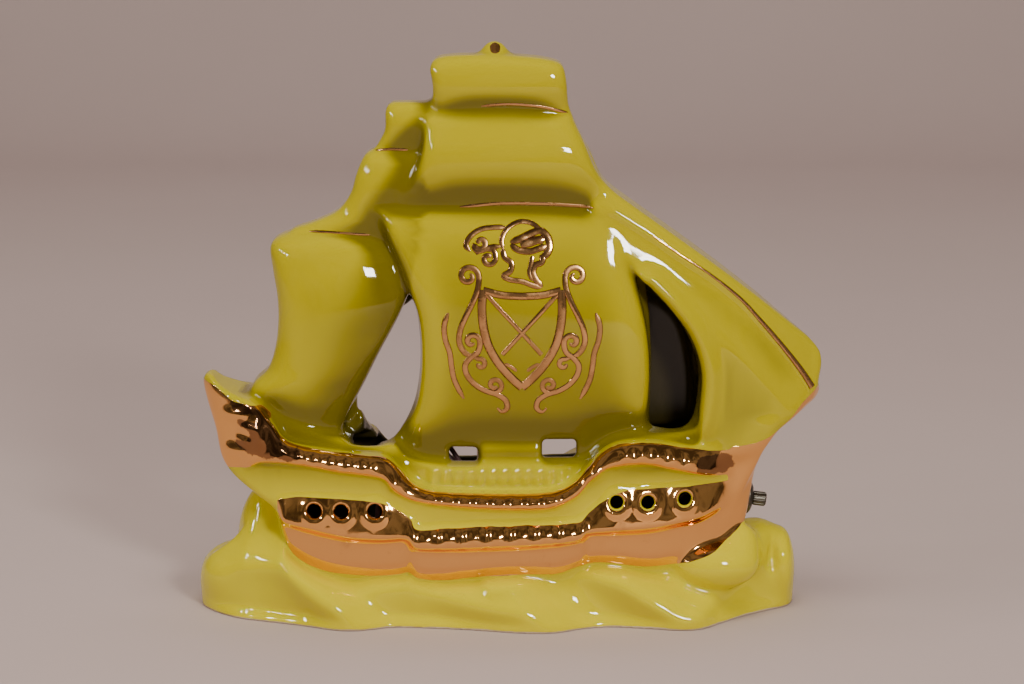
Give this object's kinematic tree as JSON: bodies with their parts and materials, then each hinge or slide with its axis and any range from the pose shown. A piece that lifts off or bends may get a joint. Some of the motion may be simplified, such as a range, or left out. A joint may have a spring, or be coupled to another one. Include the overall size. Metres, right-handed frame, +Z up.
{
  "type": "tv lamp",
  "caption": "Hollow glazed ceramic sailing ship lamp, open at the back, with a lamp socket and bulb behind the main sail and a rotary switch at the bow.",
  "frame": {"origin": "centre of the overall box, on the foot rim's plane", "axes": "+X towards the bow, +Y towards the open back, +Z up"},
  "size_m": [0.3145, 0.1071, 0.2869],
  "materials": {
    "ceramic_glaze": "gloss",
    "zinc_strip": "satin",
    "screw_steel": "satin",
    "red_fibre": "matte",
    "nipple_brass": "satin",
    "socket_brass": "satin",
    "liner_fibre": "matte",
    "phenolic": "gloss",
    "contact_brass": "satin",
    "bulb_frosted_glass": "frosted",
    "bulb_base_metal": "satin",
    "bulb_black_glass": "gloss",
    "solder": "satin",
    "stem_glass": "clear",
    "tungsten": "matte",
    "switch_bakelite": "satin",
    "dark_bronze": "aged",
    "rubber_black": "matte",
    "brown_insulation": "satin",
    "splice_ceramic": "matte"
  },
  "bodies": {
    "root": {"ceramic_ship": "ceramic_glaze", "socket_bracket": "zinc_strip", "bracket_screw": "screw_steel", "bracket_nut": "screw_steel", "screw_washers": "red_fibre", "threaded_nipple": "nipple_brass", "nipple_locknut": "nipple_brass", "socket_cap": "socket_brass", "outlet_bush": "red_fibre", "socket_shell": "socket_brass", "shell_liner": "liner_fibre", "socket_core": "phenolic", "screw_shell": "contact_brass", "centre_contact": "contact_brass", "terminal_screws": "contact_brass", "switch_housing": "switch_bakelite", "switch_bushing": "dark_bronze", "switch_lock_washer": "screw_steel", "switch_ring_nut": "dark_bronze", "switch_contacts": "contact_brass", "cord_grommet": "rubber_black", "lead_socket_to_splice": "brown_insulation", "lead_socket_to_switch": "brown_insulation", "lead_switch_to_splice": "brown_insulation", "splice_cap_socket": "splice_ceramic", "splice_cap_switch": "splice_ceramic"},
    "knob": {"switch_knob": "dark_bronze", "switch_shaft": "dark_bronze", "switch_rotor": "phenolic"},
    "bulb": {"bulb_base": "bulb_base_metal", "bulb_insulator": "bulb_black_glass", "bulb_tip_contact": "solder", "bulb_glass": "bulb_frosted_glass", "bulb_mount": "stem_glass", "bulb_filament": "tungsten"}
  },
  "joints": [
    {"name": "knob_turn", "type": "hinge", "parent": "root", "child": "knob", "pos_m": [0.1213, 0.004, 0.0555], "axis": [0.9925, 0, -0.1219], "continuous": true},
    {"name": "bulb_unscrew", "type": "slide", "parent": "root", "child": "bulb", "axis": [0, 0, 1], "range_m": [0, 0.0205]}
  ]
}
